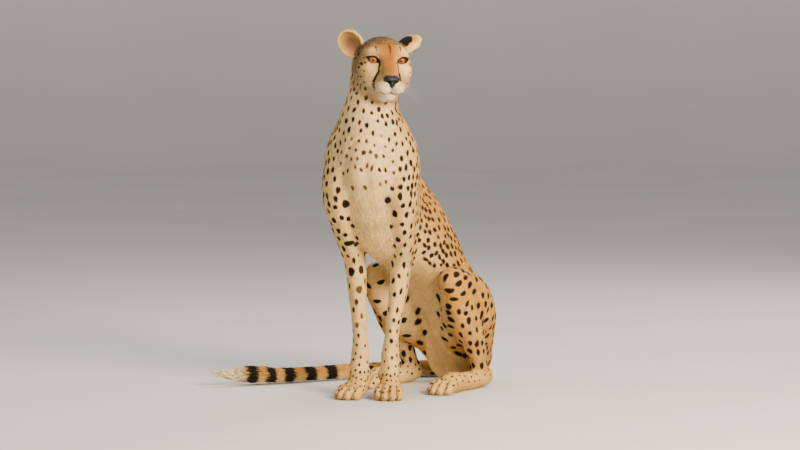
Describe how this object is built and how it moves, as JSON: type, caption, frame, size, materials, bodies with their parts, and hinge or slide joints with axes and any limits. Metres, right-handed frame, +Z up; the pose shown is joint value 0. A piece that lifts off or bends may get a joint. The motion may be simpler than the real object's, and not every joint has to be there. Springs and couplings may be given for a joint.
{
  "type": "sitting cheetah",
  "caption": "Life-size adult cheetah that sits upright on its haunches, head turned, tail laid round its side; a still museum-like model in named body parts.",
  "frame": {"origin": "middle of the footprint's bounding box, on the floor", "axes": "+Z up; the chest faces -Y; the animal's left is +X"},
  "size_m": [0.7384, 0.694, 0.9597],
  "materials": {
    "coat": "short spotted fur, matte",
    "coat_pale": "short pale fur with few spots, matte",
    "coat_tail": "fur, spotted then ringed, with a white brush",
    "eye": "wet, clear",
    "nose": "moist, finely grained",
    "claw": "horn, satin"
  },
  "bodies": {
    "root": {"head": "coat", "nose": "nose", "eye_left": "eye", "eye_right": "eye", "ear_left": "coat", "ear_right": "coat", "neck": "coat_pale", "chest": "coat", "loin": "coat", "upper_foreleg_left": "coat", "upper_foreleg_right": "coat", "forearm_left": "coat_pale", "forearm_right": "coat_pale", "forepaw_left": "coat_pale", "forepaw_right": "coat_pale", "thigh_left": "coat", "thigh_right": "coat", "shank_left": "coat", "shank_right": "coat", "hind_foot_left": "coat_pale", "hind_foot_right": "coat_pale", "tail_1": "coat_tail", "tail_2": "coat_tail", "tail_3": "coat_tail", "tail_4": "coat_tail", "tail_5": "coat_tail", "fore_claw_left_1": "claw", "fore_claw_left_2": "claw", "fore_claw_left_3": "claw", "fore_claw_left_4": "claw", "fore_claw_left_5": "claw", "fore_claw_right_1": "claw", "fore_claw_right_2": "claw", "fore_claw_right_3": "claw", "fore_claw_right_4": "claw", "fore_claw_right_5": "claw", "hind_claw_left_1": "claw", "hind_claw_left_2": "claw", "hind_claw_left_3": "claw", "hind_claw_left_4": "claw", "hind_claw_right_1": "claw", "hind_claw_right_2": "claw", "hind_claw_right_3": "claw", "hind_claw_right_4": "claw"}
  },
  "joints": []
}
